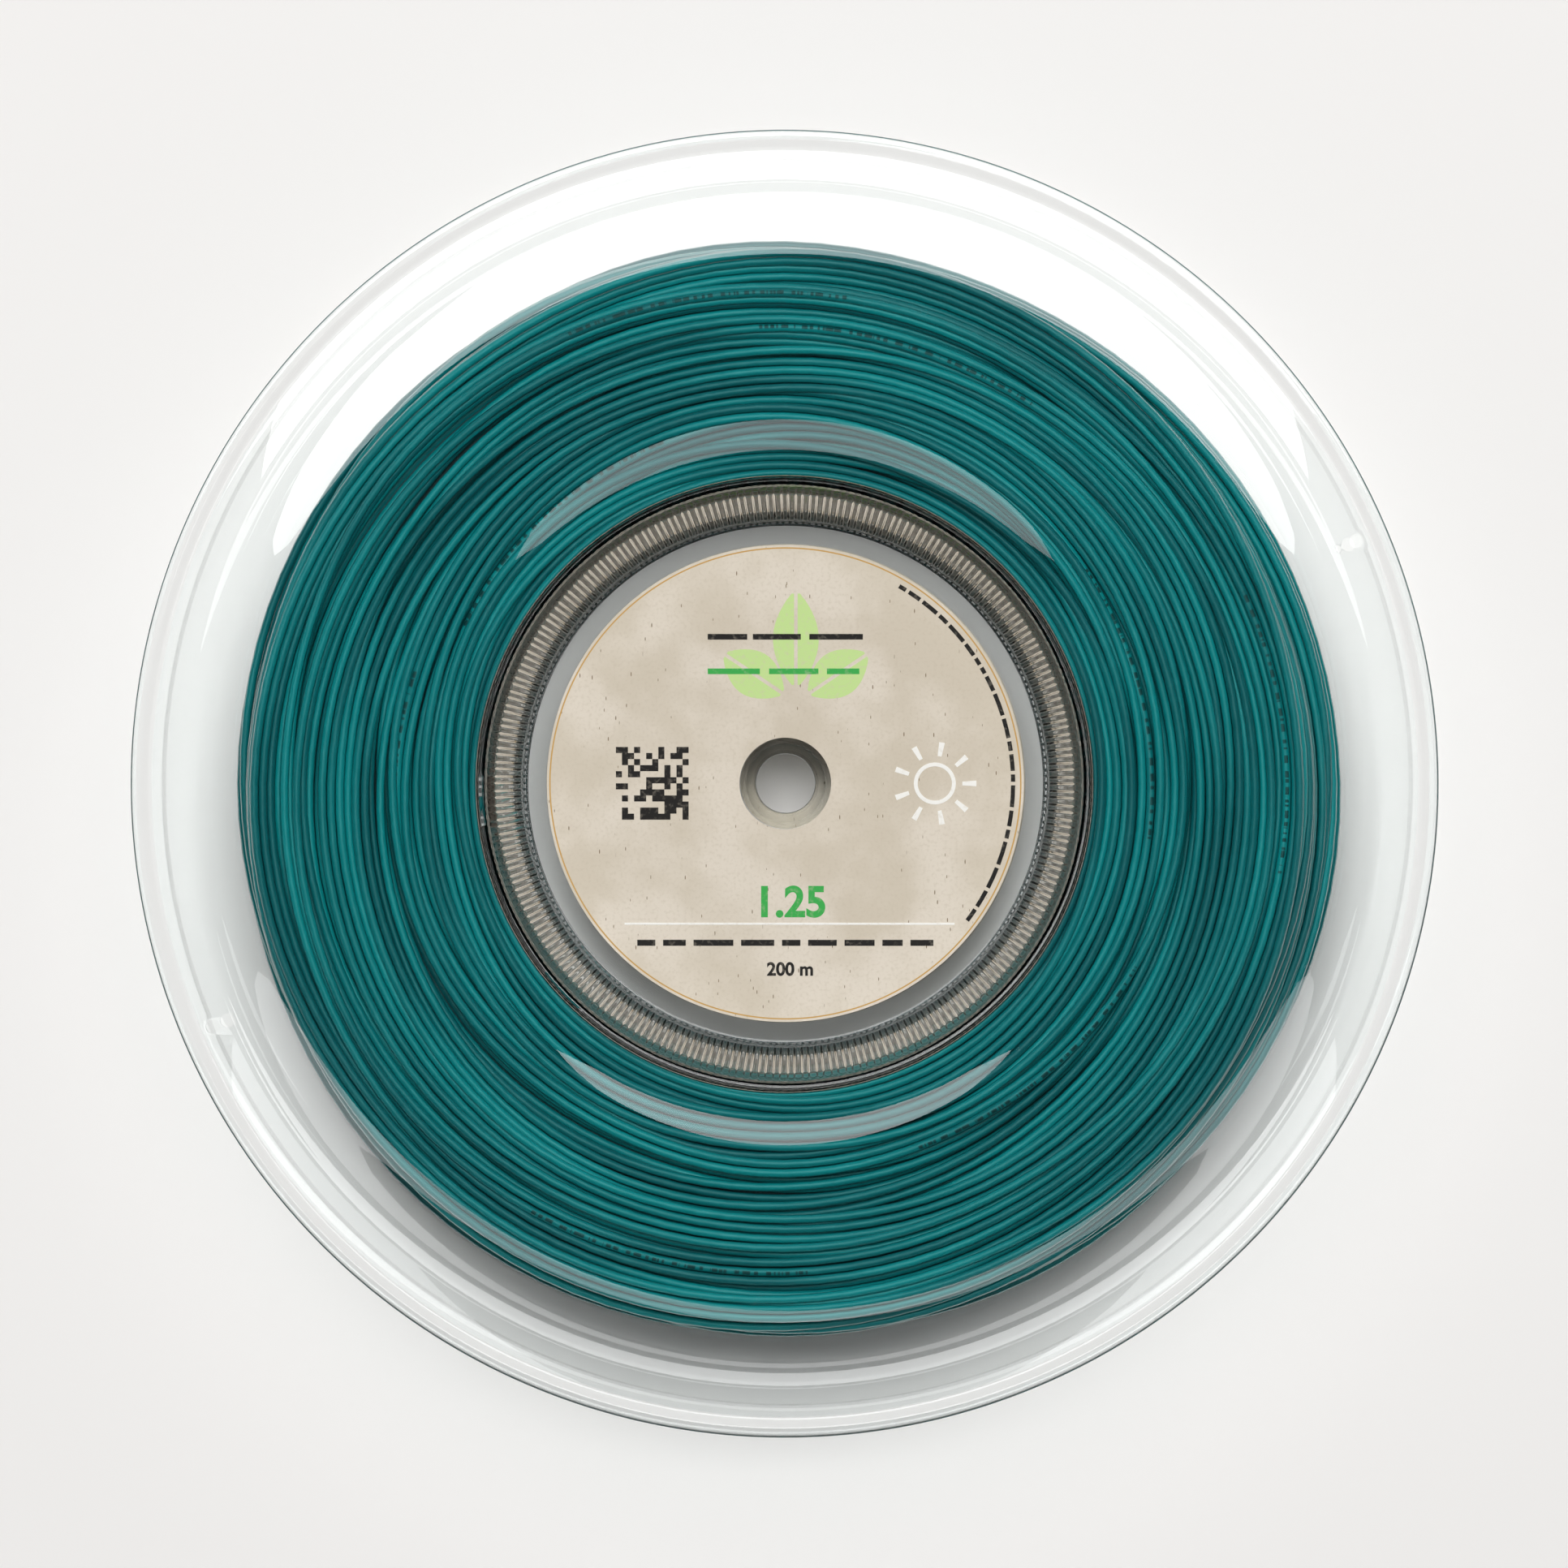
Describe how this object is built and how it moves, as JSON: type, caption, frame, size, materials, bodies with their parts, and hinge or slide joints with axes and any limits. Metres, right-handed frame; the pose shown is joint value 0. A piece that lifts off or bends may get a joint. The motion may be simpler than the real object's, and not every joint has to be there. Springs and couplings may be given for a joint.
{
  "type": "string reel",
  "caption": "Clear round reel with crowned flanges, a reeded hub cup with a paper label on each side, and racket string wound on its drum.",
  "frame": {"origin": "centre of the rear rim's resting plane, on the spindle axis", "axes": "+Z along the spindle axis, out of the front face; +X to the right and +Y up as the front label is read"},
  "size_m": [0.184, 0.184, 0.034],
  "materials": {
    "clear_moulding": "clear polystyrene, moulded and polished",
    "label_paper": "uncoated recycled paper with dark fibres",
    "string": "extruded polyester monofilament, semi-gloss"
  },
  "bodies": {
    "root": {"front_half": "clear_moulding", "rear_half": "clear_moulding", "front_label": "label_paper", "rear_label": "label_paper", "string_winding": "string", "string_inner_end": "string"}
  },
  "joints": []
}
